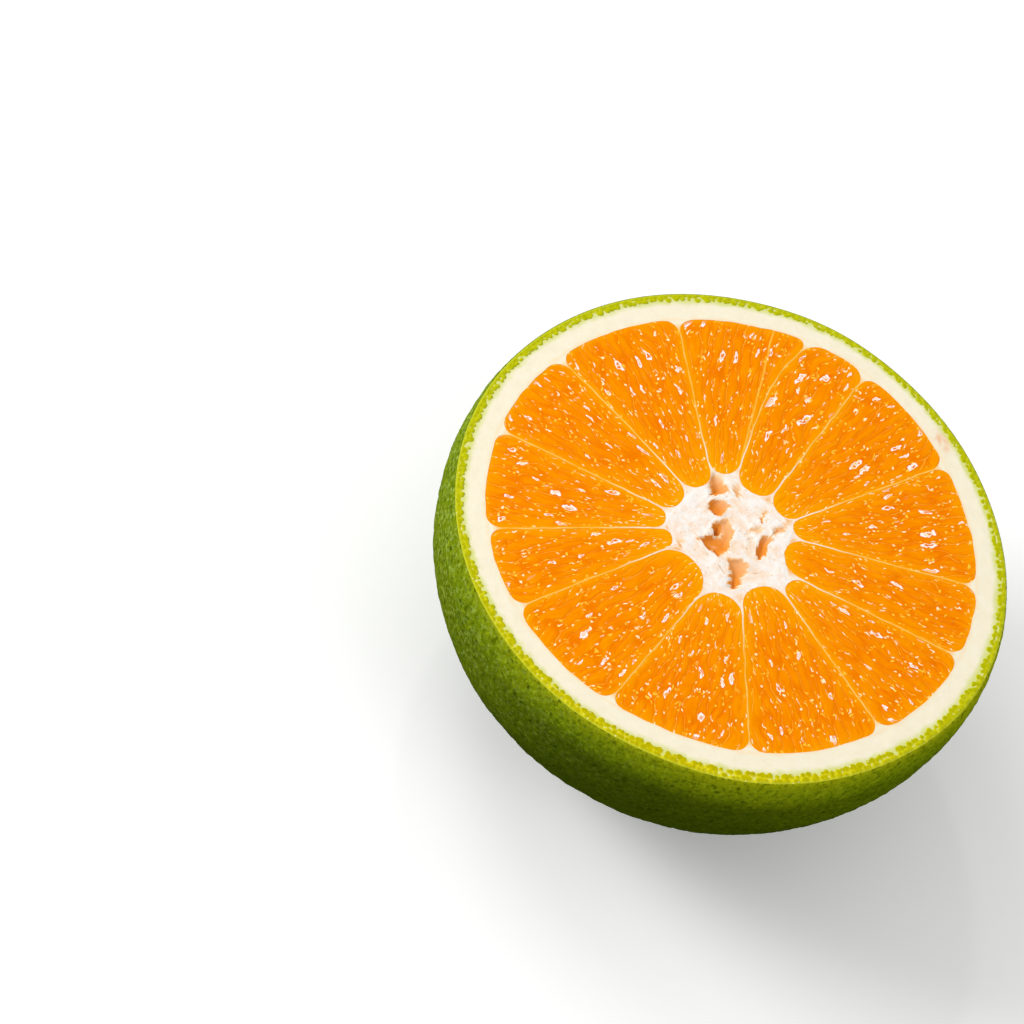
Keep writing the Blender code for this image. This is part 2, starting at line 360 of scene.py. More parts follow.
class Finish:
    """Builds a material from nodes, over its ground colour."""

    def __init__(self, name, colour):
        self.colour = colour
        self.material = bpy.data.materials.new(name)
        self.material.use_nodes = True
        self.tree = self.material.node_tree
        self.shader = self.tree.nodes["Principled BSDF"]

    def join(self, value, socket):
        """Links a socket to another, or sets a plain value on it."""
        if isinstance(value, bpy.types.NodeSocket):
            self.tree.links.new(value, socket)
        else:
            socket.default_value = value

    def feed(self, node, **inputs):
        """Joins values to a node's inputs by their names, with _ for each space."""
        for name, value in inputs.items():
            self.join(value, node.inputs[name.replace("_", " ")])

    def add(self, kind, **inputs):
        """Adds a node, feeds it and returns it."""
        node = self.tree.nodes.new("ShaderNode" + kind)
        self.feed(node, **inputs)
        return node

    def tint(self, share, colour):
        """Mixes a colour over the colour so far, by a share from 0 to 1."""
        self.colour = self.mix(share, self.colour, colour)

    def finish(self, **inputs):
        """Feeds the shader the colour and its other inputs, and returns the material."""
        self.feed(self.shader, Base_Color=self.colour, **inputs)
        return self.material

    def value(self, name):
        """The piece's own point values of that name."""
        node = self.add("Attribute")
        node.attribute_name = name
        return node.outputs["Fac"]

    def place(self):
        """The place on the piece, in metres."""
        return self.add("TexCoord").outputs["Object"]

    def flat_place(self, across, along, width, length):
        """A flat place, in cells that are width across and length along."""
        x, y = self.math("DIVIDE", across, width), self.math("DIVIDE", along, length)
        return self.add("CombineXYZ", X=x, Y=y).outputs["Vector"]

    def noise(self, size, detail=3.0, roughness=0.55):
        """Noise with lumps about size metres wide."""
        node = self.add("TexNoise", Vector=self.place(), Scale=1 / size, Detail=detail, Roughness=roughness)
        return node.outputs["Fac"]

    def streaks(self, across, along, width, length):
        """Noise drawn out into streaks."""
        node = self.add("TexNoise", Vector=self.flat_place(across, along, width, length), Scale=1.0)
        node.noise_dimensions = "2D"
        return node.outputs["Fac"]

    def scatter(self, place, scale, dimensions):
        """Scattered spots, with a cell round each."""
        node = self.add("TexVoronoi", Vector=place, Scale=scale)
        node.voronoi_dimensions = dimensions
        return node

    def spots(self, place, scale, dimensions):
        """Distance to the nearest of the scattered spots, and two chances of its own."""
        node = self.scatter(place, scale, dimensions)
        channels = self.add("SeparateColor", Color=node.outputs["Color"])
        return node.outputs["Distance"], channels.outputs["Red"], channels.outputs["Green"]

    def specks(self, size, edge, chances):
        """1 in some of the specks scattered size metres apart, and 0 round them.

        edge gives the distances where a speck ends and where it is whole, and chances those of
        its own that leave it out and that show it whole.
        """
        distance, chance, _ = self.spots(self.place(), 1 / size, "3D")
        return self.times(self.spread(distance, *edge), self.spread(chance, *chances))

    def cells(self, across, along, width, length):
        """Distance to the middle of the nearest flat cell, and two chances of its own."""
        return self.spots(self.flat_place(across, along, width, length), 1.0, "2D")

    def cell_walls(self, across, along, width, length):
        """Distance to the wall between flat cells, against their width.

        Also a share that is 1 beside a cell and 0 at its ends.
        """
        place = self.flat_place(across, along, width, length)
        walls, cells = (self.scatter(place, 1.0, "2D") for _ in range(2))
        walls.feature = "DISTANCE_TO_EDGE"
        offset = self.math("SUBTRACT", place, cells.outputs["Position"], kind="VectorMath")
        parts = self.add("SeparateXYZ", Vector=offset)
        aside, ahead = (self.math("ABSOLUTE", parts.outputs[axis]) for axis in "XY")
        beside = self.spread(self.math("SUBTRACT", aside, self.times(ahead, 0.8)), -0.05, 0.15)
        return walls.outputs["Distance"], beside

    def spread(self, value, low, high, new_low=0.0, new_high=1.0):
        """Stretches the values from low to high over a new range, and holds them inside it."""
        node = self.add("MapRange", Value=value, From_Min=low, From_Max=high,
                        To_Min=new_low, To_Max=new_high)
        return node.outputs["Result"]

    def math(self, operation, *values, kind="Math"):
        """What an operation makes of one or two numbers, or of two places."""
        node = self.add(kind)
        node.operation = operation
        for value, socket in zip(values, node.inputs):
            self.join(value, socket)
        return node.outputs[0]

    def times(self, *values):
        """The product of two or more numbers."""
        product_so_far = values[0]
        for value in values[1:]:
            product_so_far = self.math("MULTIPLY", product_so_far, value)
        return product_so_far

    def mix(self, share, first, second):
        """A colour between two, by a share from 0 to 1."""
        node = self.add("Mix")
        node.data_type = "RGBA"
        self.feed(node, Factor=share, A=first, B=second)
        return node.outputs["Result"]

    def bump(self, height, distance):
        """Roughens the surface by a height, which is a share of the distance."""
        self.feed(self.shader, Normal=self.add("Bump", Height=height, Distance=distance).outputs["Normal"])


def rind_material():
    """Green rind, pebbled and pitted, yellower by the cut; painted light and glints, painted shade
    underneath.
    """
    f = Finish("green_rind", rgb(0.086, 0.146, 0.002))
    patches = f.spread(f.noise(14 * MM, 3.0), 0.35, 0.68)
    f.tint(patches, rgb(0.138, 0.186, 0.002))
    # Yellower near the cut, with painted light along the cut's edge and on one side near it
    f.tint(f.times(f.value("beside_cut"), 0.9), rgb(0.39, 0.41, 0.004))
    # Painted light on the lit side
    f.tint(f.value("lit"), rgb(0.120, 0.178, 0.004))
    flecks = f.spread(f.noise(0.75 * MM, 2.0, 0.5), 0.50, 0.66)
    f.tint(f.times(flecks, 0.45), rgb(0.27, 0.35, 0.008))
    shade = f.spread(f.noise(0.60 * MM, 2.0, 0.5), 0.50, 0.34)
    f.tint(f.times(shade, 0.5), rgb(0.03, 0.065, 0.0))
    # Painted shade on the shady side and underneath
    f.tint(f.times(f.value("dark"), 0.85), rgb(0.016, 0.026, 0.0005))
    # Painted glints on the lit side
    glints = f.spread(f.noise(0.65 * MM, 2.0, 0.6), 0.50, 0.72)
    f.tint(f.times(glints, f.value("lit"), 0.45), rgb(0.44, 0.57, 0.14))
    # Painted shade in the pits
    pit = f.math("MAXIMUM", f.specks(1.1 * MM, (0.34, 0.10), (0.30, 0.80)), f.value("pit"))
    f.tint(f.times(pit, 0.42), rgb(0.014, 0.030, 0.0))
    scar = f.mix(f.noise(0.8 * MM), rgb(0.16, 0.09, 0.035), rgb(0.32, 0.22, 0.10))
    f.tint(f.value("scar"), scar)
    pebbles = f.math("SUBTRACT", f.noise(0.8 * MM, 3.0, 0.6), f.times(pit, 0.6))
    f.bump(pebbles, 0.45 * MM)
    return f.finish(
        Roughness=f.spread(f.noise(2.5 * MM), 0.3, 0.7, 0.34, 0.46),
        Specular_IOR_Level=0.0,
    )


def gland_material():
    """Yellow-green oil glands, clear and wet, with lighter rind between them."""
    f = Finish("oil_glands", rgb(0.74, 0.66, 0.014))
    f.tint(f.value("greener"), rgb(0.52, 0.53, 0.006))
    mottle = f.spread(f.noise(0.9 * MM, 3.0), 0.35, 0.65)
    oil = f.mix(mottle, rgb(0.44, 0.39, 0.0), rgb(0.58, 0.50, 0.0))
    green_oil = f.mix(mottle, rgb(0.40, 0.43, 0.002), rgb(0.52, 0.53, 0.003))
    oil = f.mix(f.value("greener"), oil, green_oil)
    f.tint(f.value("gland"), oil)
    f.tint(f.value("halo"), rgb(0.66, 0.68, 0.08))
    f.tint(f.times(f.value("skin_edge"), 0.8), rgb(0.50, 0.54, 0.03))
    # Painted glints, fewer on the greener side
    glint = f.specks(0.6 * MM, (0.24, 0.14), (0.70, 0.72))
    fewer = f.spread(f.value("greener"), 0.0, 1.0, 1.0, 0.35)
    f.tint(f.times(glint, fewer, 0.7), rgb(0.92, 0.92, 0.45))
    f.bump(f.noise(0.3 * MM, 3.0, 0.6), 0.06 * MM)
    return f.finish(
        Roughness=0.35,
        Specular_IOR_Level=0.0,
        Coat_Weight=0.1,
        Coat_Roughness=0.1,
        Coat_IOR=1.33,
    )


def pith_material():
    """Soft cream pith, whiter in the core, stained with juice in hollows and membranes, with painted shade.
    """
    f = Finish("white_pith", rgb(0.925, 0.86, 0.68))
    mottle = f.spread(f.noise(1.2 * MM, 5.0, 0.7), 0.3, 0.72)
    f.tint(mottle, rgb(0.885, 0.805, 0.60))
    f.tint(f.times(f.value("core"), 0.9), rgb(0.965, 0.91, 0.86))
    blush = f.times(f.value("core"), f.spread(f.noise(1.3 * MM, 5.0, 0.75), 0.46, 0.64))
    f.tint(f.times(blush, 0.85), rgb(0.95, 0.71, 0.53))
    wet = f.spread(f.noise(1.8 * MM), 0.3, 0.7)
    membrane = f.mix(wet, rgb(0.97, 0.45, 0.03), rgb(0.98, 0.60, 0.14))
    f.tint(f.value("membrane"), membrane)
    fleck = f.specks(0.65 * MM, (0.26, 0.12), (0.62, 0.66))
    f.tint(f.times(fleck, f.value("core"), 0.65), rgb(0.85, 0.52, 0.25))
    # Juice stain in the hollows, with painted shade in its deeper tints
    shallow = f.spread(f.value("juice"), 0.0, 0.35)
    f.tint(shallow, rgb(0.96, 0.62, 0.34))
    deep = f.spread(f.value("juice"), 0.28, 0.62)
    f.tint(deep, rgb(0.84, 0.27, 0.032))
    f.tint(f.spread(f.value("juice"), 0.72, 1.0), rgb(0.50, 0.12, 0.004))
    f.tint(f.value("green_tinge"), rgb(0.62, 0.67, 0.12))
    f.tint(f.value("beside_pulp"), rgb(0.98, 0.66, 0.30))
    f.tint(f.value("stain"), rgb(0.86, 0.42, 0.20))
    rougher_core = f.spread(f.value("core"), 0.0, 1.0, 0.35, 1.0)
    f.bump(f.times(f.noise(0.3 * MM, 5.0, 0.7), rougher_core), 0.08 * MM)
    return f.finish(Roughness=0.6, Specular_IOR_Level=0.03)


def pulp_material():
    """Wet orange juice sacs, golden along their walls and near the core, with painted glints and shade.

    Sacs run from the core to the peel, by the piece's own measures across and along them.
    """
    f = Finish("orange_pulp", rgb(0.915, 0.225, 0.0))
    bend = f.spread(f.noise(5.0 * MM, 2.0), 0.2, 0.8, -0.8, 0.8)
    across = f.math("ADD", f.value("across_sacs"), bend)
    along = f.value("along_sacs")
    ragged = f.math("ADD", across, f.spread(f.noise(0.8 * MM, 1.0), 0.2, 0.8, -0.30, 0.30))
    to_wall, beside_sac = f.cell_walls(across, along, 1.35, 6.0)

    depth = f.spread(f.noise(3.0 * MM, 4.0), 0.32, 0.68)
    f.tint(depth, rgb(0.95, 0.285, 0.0))
    f.tint(f.value("gold"), rgb(0.96, 0.36, 0.0))
    streak = f.spread(f.streaks(across, along, 0.3, 3.0), 0.50, 0.72)
    f.tint(f.times(streak, 0.45), rgb(0.96, 0.37, 0.002))
    # Painted shade in the grooves between the sacs, less near the membranes and the tip
    painted_groove_shade = f.times(f.spread(to_wall, 0.22, 0.06), f.spread(f.value("gold"), 0.0, 0.8, 0.5, 0.0))
    f.tint(painted_groove_shade, rgb(0.82, 0.14, 0.0))
    patchy = f.spread(f.noise(2.2 * MM), 0.36, 0.60)
    wall = f.times(f.spread(to_wall, 0.065, 0.015), beside_sac, patchy)
    f.tint(f.times(wall, 0.7), rgb(0.98, 0.50, 0.045))

    fold = f.spread(f.math("ABSOLUTE", f.value("from_fold")), 0.17, 0.07)
    f.tint(f.times(fold, 0.8), rgb(0.98, 0.52, 0.06))

    # Large painted glints: white rims round pale or red middles, with painted shade beside them
    distance, chance, other = f.cells(ragged, along, 1.8, 5.4)
    distance = f.times(distance, f.spread(other, 0.0, 1.0, 0.80, 2.0))
    large = f.times(f.spread(chance, 0.62, 0.63), f.spread(f.value("gold"), 0.6, 0.3))
    beside = f.times(f.spread(distance, 0.27, 0.21), f.spread(f.noise(1.0 * MM), 0.50, 0.56))
    f.tint(f.times(large, beside, 0.55), rgb(0.78, 0.11, 0.0))
    cloudy = f.spread(f.noise(0.7 * MM), 0.44, 0.50)
    middle = f.mix(cloudy, rgb(0.86, 0.20, 0.0), rgb(0.97, 0.68, 0.50))
    glint = f.mix(f.spread(distance, 0.13, 0.09), rgb(0.98, 0.95, 0.92), middle)
    f.tint(f.times(large, f.spread(distance, 0.19, 0.16)), glint)

    # Small specks and dashes along the sac walls: pale bits of the walls and painted glints
    near_wall = f.spread(to_wall, 0.24, 0.12)
    distance, chance, other = f.cells(ragged, along, 0.55, 0.80)
    speck = f.times(f.spread(distance, 0.27, 0.20), f.spread(chance, 0.62, 0.64))
    speck = f.times(speck, near_wall, f.spread(f.noise(2.0 * MM), 0.40, 0.46))
    amber = f.mix(f.spread(other, 0.55, 0.75), rgb(0.98, 0.58, 0.045), rgb(0.98, 0.88, 0.50))
    f.tint(speck, amber)
    distance, chance, other = f.cells(ragged, along, 0.50, 2.0)
    dash = f.times(f.spread(distance, 0.22, 0.15), f.spread(chance, 0.64, 0.66))
    dash = f.times(dash, near_wall, f.spread(f.noise(2.6 * MM), 0.42, 0.48))
    amber = f.mix(f.spread(other, 0.45, 0.65), rgb(0.98, 0.55, 0.040), rgb(0.98, 0.88, 0.58))
    f.tint(dash, amber)
    f.bump(f.math("ADD", f.spread(to_wall, 0.0, 0.35), f.noise(0.35 * MM, 3.0, 0.6)), 0.03 * MM)
    return f.finish(
        Roughness=0.35,
        Specular_IOR_Level=0.0,
        Coat_Weight=0.04,
        Coat_Roughness=0.07,
        Coat_IOR=1.33,
    )


# The rind

SKIN_COLUMNS = 600
SKIN_ROWS = 138
LINING_ROWS = 5
LIP_WIDTH = 0.10 * MM
LIP_CORNER = 0.03 * MM
BAND_FLOOR = 0.22 * MM
REBATE_DEPTH = 0.35 * MM
EDGE_THICKNESS = 0.36 * MM
FULL_THICKNESS_DEPTH = 3.0 * MM
PIT_SPACING = 2.0 * MM
PIT_RADIUS = 0.40 * MM
PIT_DEPTH = 0.13 * MM
LUMP_HEIGHT = 0.10 * MM
PEBBLE_HEIGHT = 0.08 * MM
GRAIN_HEIGHT = 0.05 * MM
# Sides where painted shade and painted light fall, and the side lightened near the cut by painted light:
# angle and width in degrees, and a share
SHADY_SIDE = Swell(287.0, 65.0, 0.92)
LIT_SIDE = Swell(190.0, 55.0, 1.0)
PAINTED_LIGHT_SIDE = Swell(38.0, 55.0, 1.0)
SCAR_RADIUS = 1.9 * MM
SCAR_DEPTH = 0.3 * MM
REST_ROWS = [REST_RADIUS * share for share in (0.8, 0.6, 0.4, 0.28, 0.2, 0.1, 0.0)]


def rind_thickness(depth):
    """Thickness of the rind, which thins towards the cut under the oil glands."""
    thickening = fade(depth, REBATE_DEPTH, FULL_THICKNESS_DEPTH)
    return EDGE_THICKNESS + (ZEST_THICKNESS - EDGE_THICKNESS) * thickening


def rind_path():
    """The rind's outline: up its lining, over its edge, down the skin and in under the fruit.

    Gives the radius and the depth of each row, and the number of the skin's first row.
    """
    lining = np.column_stack(dome_path(ZEST_THICKNESS, 0.0, LINING_ROWS))
    lining[0] = dome_radius(REBATE_DEPTH, rind_thickness(REBATE_DEPTH)), REBATE_DEPTH
    edge = [
        (SKIN_RADIUS - EDGE_THICKNESS, BAND_FLOOR + LIP_CORNER),
        (SKIN_RADIUS - 1.5 * LIP_WIDTH, BAND_FLOOR),
        (SKIN_RADIUS - LIP_WIDTH, 0.0),
        (SKIN_RADIUS - LIP_CORNER, 0.0),
    ]
    skin = np.column_stack(dome_path(0.0, REST_RADIUS, SKIN_ROWS))
    skin[0, 1] = LIP_CORNER
    rest = [(radius, CUT_HEIGHT) for radius in REST_ROWS]
    path = np.concatenate([lining[::-1], edge, skin, rest])
    return path[:, 0], path[:, 1], len(lining) + len(edge)


def make_rind():
    """The green skin: pitted and lumpy outside, with a small scar in the middle underneath."""
    radius_path, depth_path, first_row = rind_path()
    rows = len(radius_path) - 1
    last_row = rows - len(REST_ROWS)
    mesh = to_mesh("rind", flat_grid(SKIN_COLUMNS, rows))
    flat = read_points(mesh)
    turn = flat[:, 0] * math.pi
    row = np.round((flat[:, 1] + 1) / 2 * rows).astype(int)
    radius, depth = radius_path[row], depth_path[row]
    points = points_at(radius, turn, CUT_HEIGHT - depth)

    outside = fade(row, first_row + 0.5, first_row + 3) * (1 - fade(row, last_row - 2, last_row + 1))
    nearest, second = nearest_spots(points, PIT_SPACING, 11)
    size = np.clip(0.8 + 0.5 * soft_noise(points, 2.0 * MM, 5), 0.45, 1.3)
    pit = outside * np.exp(-(nearest / (PIT_RADIUS * size)) ** 2)
    relief = LUMP_HEIGHT * layered_noise(points, 9 * MM, 21, 2)
    relief += PEBBLE_HEIGHT * fade(second - nearest, 0, 0.7 * MM)
    relief += GRAIN_HEIGHT * soft_noise(points, 0.8 * MM, 8)
    push = outside * relief - PIT_DEPTH * pit
    half_height = np.where(depth < CUT_ABOVE_WIDEST, UPPER_HEIGHT, LOWER_HEIGHT)
    way_out = points_at(radius / WIDEST_RADIUS ** 2, turn, (CUT_ABOVE_WIDEST - depth) / half_height ** 2)
    way_out /= np.linalg.norm(way_out, axis=1)[:, None]
    points += way_out * push[:, None]

    scar = np.exp(-(radius / SCAR_RADIUS) ** 4) * (row >= last_row)
    points[:, 2] = np.maximum(points[:, 2] + SCAR_DEPTH * scar, 0.0)
    unround(points)
    write_points(mesh, points)
    angle = np.degrees(turn)
    # Yellower near the cut, with a painted highlight along the cut's edge and painted light on one side
    # near it
    painted_light_side = total_swell(angle, PAINTED_LIGHT_SIDE) * np.exp(-(depth / (6 * MM)) ** 2)
    beside_cut = 0.45 * np.exp(-depth / (3.5 * MM)) + 0.55 * np.exp(-depth / (0.6 * MM))
    beside_cut = np.maximum(beside_cut, painted_light_side) * (row > LINING_ROWS)
    # Painted shade on the shady side and towards the bottom, and painted light on the lit side
    shady_side = total_swell(angle, SHADY_SIDE) * fade(depth, 1.5 * MM, 7 * MM)
    dark = np.clip(shady_side + 0.75 * fade(depth, 6 * MM, 32 * MM), 0, 1)
    lit = total_swell(angle, LIT_SIDE) * (1 - fade(depth, 4 * MM, 24 * MM))
    write_values(mesh, pit=pit, scar=scar, beside_cut=beside_cut, dark=dark, lit=lit)
    finish_piece(mesh, rind_material(), ["zest"], 60)


GLAND_COLUMNS = 1400
BAND_ROWS = 15
BAND_WIDTH = 1.06 * MM
BAND_BETWEEN_GLANDS = 0.92 * BAND_WIDTH
Gland = namedtuple("Gland", "turn inward radius")
GLAND_SPACING = 0.70 * MM
GLAND_RADII = (0.20 * MM, 0.46 * MM)
GLAND_SHIFTS = (-0.22 * MM, 0.08 * MM)
OUTER_ROW = 0.42
GLAND_HEIGHT = 0.09 * MM
GLAND_GRAIN = 0.02 * MM
BAND_SLOPE = 0.22
WIDER_BAND = Swell(285.0, 75.0, 0.20 * MM)
YELLOW_SIDE = Swell(285.0, 60.0, 1.0)


def scatter_glands():
    """The oil glands: turn in radians, distance in from the skin and radius of each."""
    random = np.random.default_rng(7)
    count = round(2 * math.pi * SKIN_RADIUS / GLAND_SPACING)
    turn = (np.arange(2 * count) / count + random.uniform(-0.5, 0.5, 2 * count) / count) * 2 * math.pi
    inner_row = np.arange(2 * count) < count
    wider = total_swell(np.degrees(turn), WIDER_BAND)
    width = BAND_WIDTH + wider
    radius = random.uniform(*GLAND_RADII, 2 * count) + 0.5 * wider
    inward = np.where(inner_row, width, OUTER_ROW * width) + random.uniform(*GLAND_SHIFTS, 2 * count)
    return [Gland(*gland) for gland in zip(turn, inward, radius)]


def along_rim(turn, start):
    """Distance along the rim from a start to each turn, all of them angles in radians."""
    return ((turn - start + math.pi) % (2 * math.pi) - math.pi) * SKIN_RADIUS


def make_glands():
    """The cut edge of the rind: a narrow ring of oil glands that bulge and scallop its inside."""
    rows = BAND_ROWS + 3
    mesh = to_mesh("oil_glands", flat_grid(GLAND_COLUMNS, rows))
    flat = read_points(mesh)
    turn = flat[:, 0] * math.pi
    angle = np.degrees(turn)
    row = (flat[:, 1] + 1) / 2 * rows
    on_top = row > 1.5
    span = np.where(on_top, np.clip((row - 2) / BAND_ROWS, 0, 1) ** 1.4, np.clip(1 - row, 0, 1))
    on_top &= row < rows - 0.5

    glands = scatter_glands()
    inward = BAND_BETWEEN_GLANDS + total_swell(angle, WIDER_BAND)
    for gland in glands:
        off = along_rim(turn, gland.turn)
        near = np.abs(off) < gland.radius
        reach_in = gland.inward + np.sqrt(gland.radius ** 2 - off[near] ** 2)
        inward[near] = np.maximum(inward[near], reach_in)
    in_from_skin = LIP_WIDTH + (inward - LIP_WIDTH) * (1 - span)
    away = np.full(len(turn), FAR)
    for gland in glands:
        off = along_rim(turn, gland.turn)
        near = np.abs(off) < 1.3 * gland.radius
        across = np.hypot(off[near], in_from_skin[near] - gland.inward) / gland.radius
        away[near] = np.minimum(away[near], across)
    dome = np.sqrt(np.clip(1 - away ** 2, 0, 1))
    top = BAND_FLOOR * (np.sqrt(1 - np.clip(1 - span / BAND_SLOPE, 0, 1) ** 2) - 1)
    off_inner_edge = fade(span, 0.0, 0.12)
    top += GLAND_HEIGHT * dome * off_inner_edge * (1 - fade(span, 0.85, 1.0))
    height = np.where(on_top, top, -BAND_FLOOR)
    points = points_at(SKIN_RADIUS - in_from_skin, turn, CUT_HEIGHT + height)
    points[:, 2] += on_top * GLAND_GRAIN * soft_noise(points, 0.3 * MM, 31)
    unround(points)
    write_points(mesh, points)
    halo = 0.6 * on_top * (1 - off_inner_edge)
    write_values(mesh, gland=on_top * fade(dome, 0.35, 0.85), skin_edge=fade(span, 0.75, 0.97),
                 halo=halo, greener=1 - total_swell(angle, YELLOW_SIDE))
    finish_piece(mesh, gland_material(), ["zest"], 60)


# The pith

ARC_COLUMNS = 32
HALF_MEMBRANE_COLUMNS = 3
BLOCK = ARC_COLUMNS + 2 * HALF_MEMBRANE_COLUMNS
CORE_ROWS = 84
WEB_ROWS = 90
RING_ROWS = 22
PITH_COLUMNS = SEGMENTS * BLOCK
PITH_ROWS = CORE_ROWS + WEB_ROWS + RING_ROWS
PITH_CLEARANCE = 0.06 * MM
PITH_RADIUS = float(dome_radius(REBATE_DEPTH, EDGE_THICKNESS + PITH_CLEARANCE))
LINING_DEPTHS = [depth * MM for depth in
                 (0.35, 1.0, 2.0, 3.5, 7.0, 12.0, 17.0, 22.0, 27.0, 31.0, 33.5, 35.2)]

RING_GRAIN = 0.04 * MM
RING_EDGE_WIDTH = 0.16 * MM
RING_EDGE_DROP = 0.8 * REBATE_DEPTH
MEMBRANE_GRAIN = 0.02 * MM
# Where the torn core gives way to the segments, and the widest strip that is all membrane
CORE_START, CORE_END = 11 * MM, 15 * MM
WIDEST_MEMBRANE = 0.6 * MM

# A stain of juice on the ring: its angle and half width in degrees, and the same outwards
STAIN = Swell(58.5, 2.2, 1.0)
STAIN_REACH = 35.0 * MM
STAIN_BREADTH = 0.9 * MM

# Torn hollows in the core: an outline on the cut and a depth, both in millimetres, and the share
# of juice stain and painted shade that colours it. Each is steep on one side and runs out on the other.
Hollow = namedtuple("Hollow", "outline depth juice")
HOLLOWS = [Hollow(outline, depth * MM, juice) for outline, depth, juice in (
    ([(-7.5, 8.5), (-5, 7.5), (-3.5, 6), (-3.5, 5), (-5, 4), (-6, 6)], 1.3, 0.72),
    ([(-4.5, 3.5), (-3.5, 4), (-2, 4), (-2.5, 2.5), (-3, 1.5), (-4.5, 2)], 1.2, 0.75),
    ([(-3, 0.5), (-1.5, 2), (0, 0.5), (0.5, -2.5), (0, -4), (-2, -4), (-3.5, -3), (-2.5, -1.5)], 1.3, 0.74),
    ([(-3, 0), (-2, 1), (-1.5, 0), (-1.5, -1), (-2, -1.5), (-2.5, -1)], 2.2, 1.0),
    ([(-1.5, -3), (-0.5, -2.5), (0, -3), (-0.5, -4), (-1, -4)], 2.0, 0.95),
    ([(1, -4), (2.5, -3), (3.5, -3), (4, -4.5), (3.5, -6), (4, -7.5), (3, -7.5), (2, -5.5)], 1.3, 0.74),
    ([(2, 6.5), (2.5, 6), (2.5, 4), (2, 4.5)], 0.9, 0.62),
    ([(1.5, 1.5), (2.5, 3.5), (3.5, 3.5), (3, 2.5), (2, 2)], 0.7, 0.42),
    ([(3.5, -0.5), (3.5, 2), (4.5, 3), (5, 2.5), (4.5, 1), (5, 0), (4.5, -1.5)], 1.3, 0.80),
    ([(4.5, 3), (4.5, 4), (6.5, 7.5), (6, 6), (5.5, 4.5)], 0.8, 0.50),
    ([(-3, 7.5), (-2, 7.5), (-1.5, 6), (-2, 5.5)], 0.8, 0.52),
    ([(-6.5, -5), (-6, -4.5), (-5, -5), (-5.5, -5.5)], 0.6, 0.60),
)]
STEEP_SIDE = math.radians(253)
HOLLOW_WALL = 0.45 * MM
HOLLOW_RUN_OUT = 0.5 * MM

# Lumps and finer teeth of the torn core, with the fringe round its hollows and its flecks
TEAR_SIZE = 1.6 * MM
TEAR_HEIGHT = 0.09 * MM
TOOTH_SIZE = 0.42 * MM
TOOTH_HEIGHT = 0.03 * MM
FRINGE_HEIGHT = 0.05 * MM
FLECK_DEPTH = 0.15 * MM


def pith_grid():
    """The flat grid of the pith, opened where the segments' pockets are, with their walls."""
    bm = flat_grid(PITH_COLUMNS, PITH_ROWS)
    opened = []
    for face in bm.faces:
        centre = face.calc_center_median()
        column = (centre.x + 1) / 2 * PITH_COLUMNS % BLOCK - HALF_MEMBRANE_COLUMNS
        row = (centre.y + 1) / 2 * PITH_ROWS - CORE_ROWS
        if 0 < column < ARC_COLUMNS and 0 < row < WEB_ROWS:
            opened.append(face)
    bmesh.ops.delete(bm, geom=opened, context="FACES")
    last_column = 1 - 1 / PITH_COLUMNS
    last_row = 1 - 1 / PITH_ROWS
    edges = [edge for edge in bm.edges if edge.is_boundary]
    outer = [edge for edge in edges if all(vert.co.y > last_row for vert in edge.verts)]
    pockets = [edge for edge in edges if all(abs(vert.co.x) < last_column and abs(vert.co.y) < last_row
                                             for vert in edge.verts)]
    floors = {}
    for edge in sink_walls(bm, pockets, LEVEL_DEPTHS):
        block = int((edge.verts[0].co.x + 1) / 2 * SEGMENTS)
        floors.setdefault(block, []).append(edge)
    for loop in floors.values():
        bmesh.ops.contextual_create(bm, geom=loop)
    sink_walls(bm, outer, LINING_DEPTHS)
    return to_mesh("pith_and_membranes", bm)


